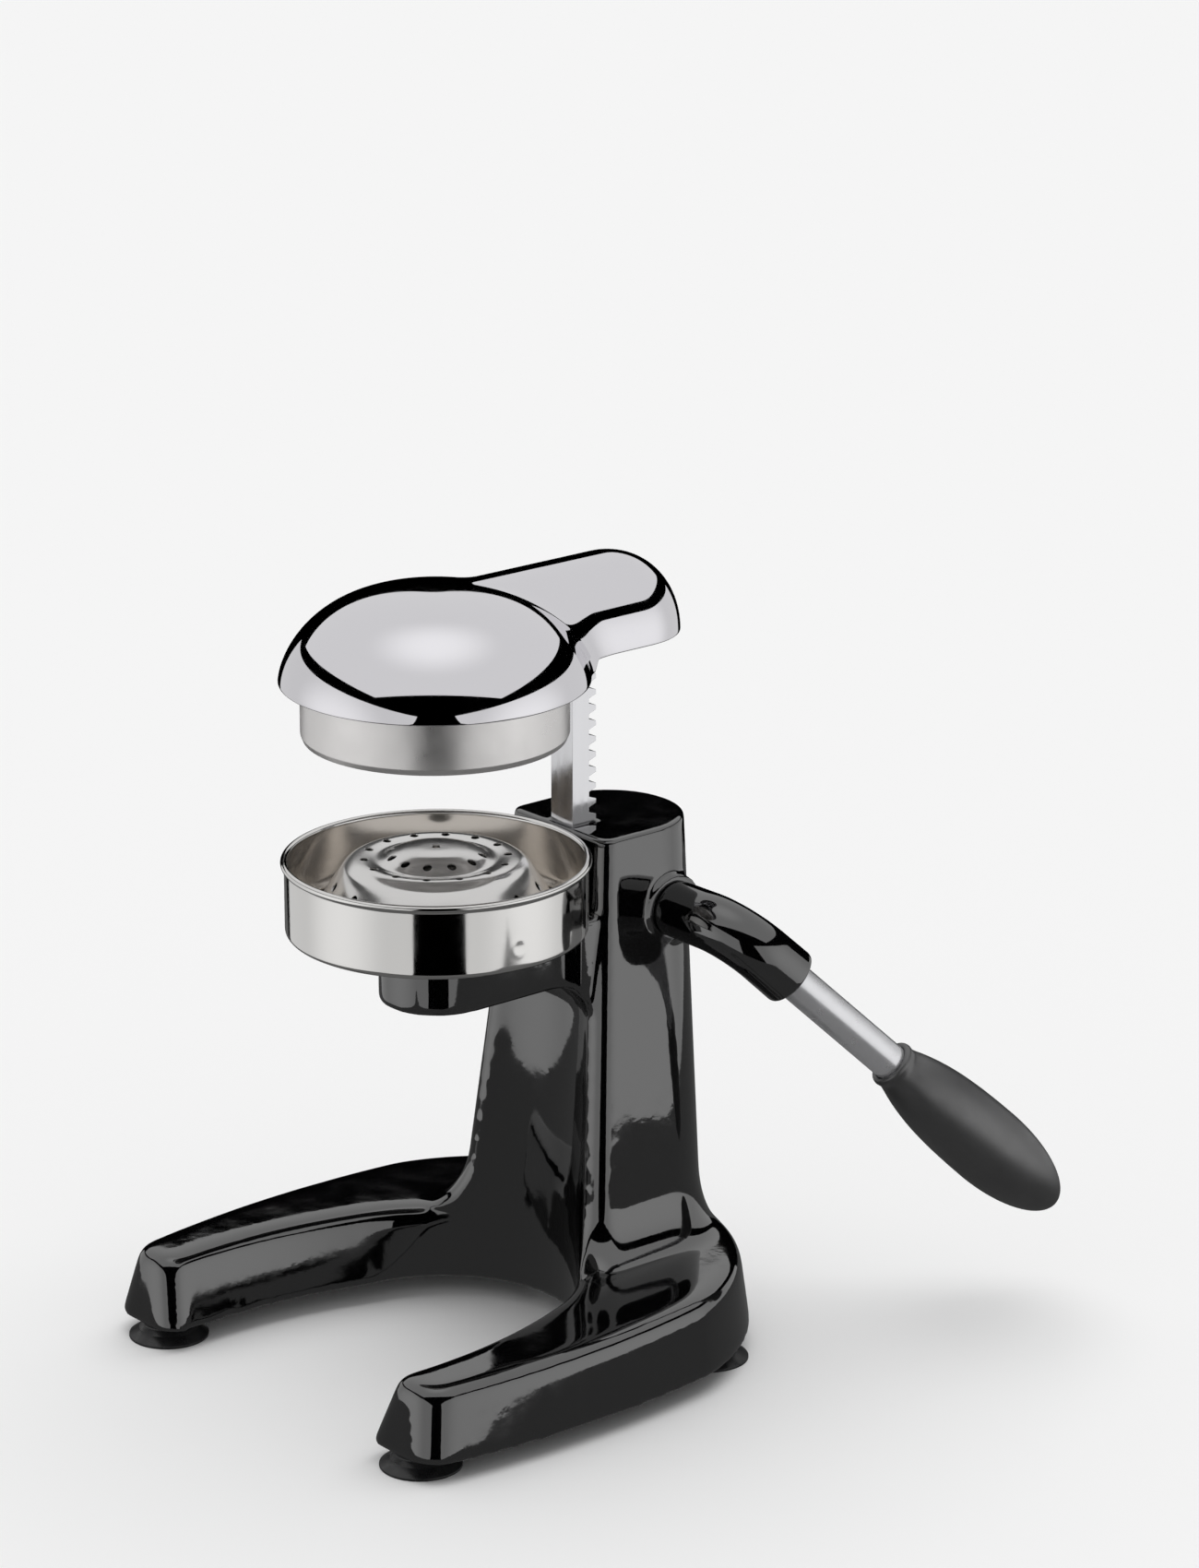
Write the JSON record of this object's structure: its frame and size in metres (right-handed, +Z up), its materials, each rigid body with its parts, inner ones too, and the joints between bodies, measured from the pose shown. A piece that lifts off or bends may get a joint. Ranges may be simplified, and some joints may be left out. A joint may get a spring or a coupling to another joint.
{
  "type": "citrus press juicer",
  "caption": "Free-standing lever citrus press: a domed head with a press cup slides down a rack into a strainer bowl on a splayed two-legged cast stand.",
  "frame": {"origin": "on the table plane, straight under the common axis of bowl, strainer and press cup, where the glass stands", "axes": "+Z up along the juice axis; +Y back towards the column; +X towards the lever's side"},
  "size_m": [0.2218, 0.2949, 0.2947],
  "materials": {
    "black_enamel": "gloss black enamel on die-cast aluminium",
    "mirror_chrome": "mirror chrome plate",
    "rack_chrome": "bright chrome plate over a cast rack",
    "satin_steel": "turned satin stainless steel",
    "polished_steel": "polished stainless steel",
    "satin_chrome": "satin chromed tube",
    "grip_rubber": "soft matt charcoal rubber",
    "pad_rubber": "black rubber, slightly glossy",
    "white_acetal": "natural acetal",
    "gear_steel": "machined steel",
    "zinc_steel": "zinc-plated steel"
  },
  "bodies": {
    "root": {"stand_casting": "black_enamel", "suction_pads": "pad_rubber", "pad_screws": "zinc_steel", "shaft_bush_right": "white_acetal", "shaft_bush_left": "white_acetal", "rack_guides": "white_acetal", "side_cap": "black_enamel"},
    "lever": {"pinion_shaft": "gear_steel", "pinion_gear": "gear_steel", "gear_key": "gear_steel", "retaining_ring": "zinc_steel", "lever_elbow": "black_enamel", "elbow_pin": "zinc_steel", "lever_rod": "satin_chrome", "grip": "grip_rubber"},
    "head": {"head_cover": "mirror_chrome", "press_cup": "satin_steel", "cup_screw": "zinc_steel", "rack_bar": "rack_chrome", "rack_screws": "zinc_steel", "rack_stop_plate": "zinc_steel", "rack_stop_screw": "zinc_steel"},
    "bowl": {"juice_bowl": "polished_steel"},
    "strainer": {"strainer_cone": "polished_steel"}
  },
  "joints": [
    {"name": "lever_turn", "type": "hinge", "parent": "root", "child": "lever", "pos_m": [0.0326, 0.08714, 0.163], "axis": [1, 0, 0], "range_deg": [0, 202]},
    {"name": "head_slide", "type": "slide", "parent": "root", "child": "head", "axis": [0, 0, -1], "range_m": [0, 0.064]},
    {"name": "bowl_turn", "type": "hinge", "parent": "root", "child": "bowl", "pos_m": [0, 0, 0.1656], "axis": [0, 0, 1], "continuous": true},
    {"name": "strainer_turn", "type": "hinge", "parent": "bowl", "child": "strainer", "pos_m": [0, 0, 0.1676], "axis": [0, 0, 1], "continuous": true}
  ],
  "couplings": [
    {"joint": "head_slide", "follows": "lever_turn", "m_per_rad": 0.018144}
  ]
}
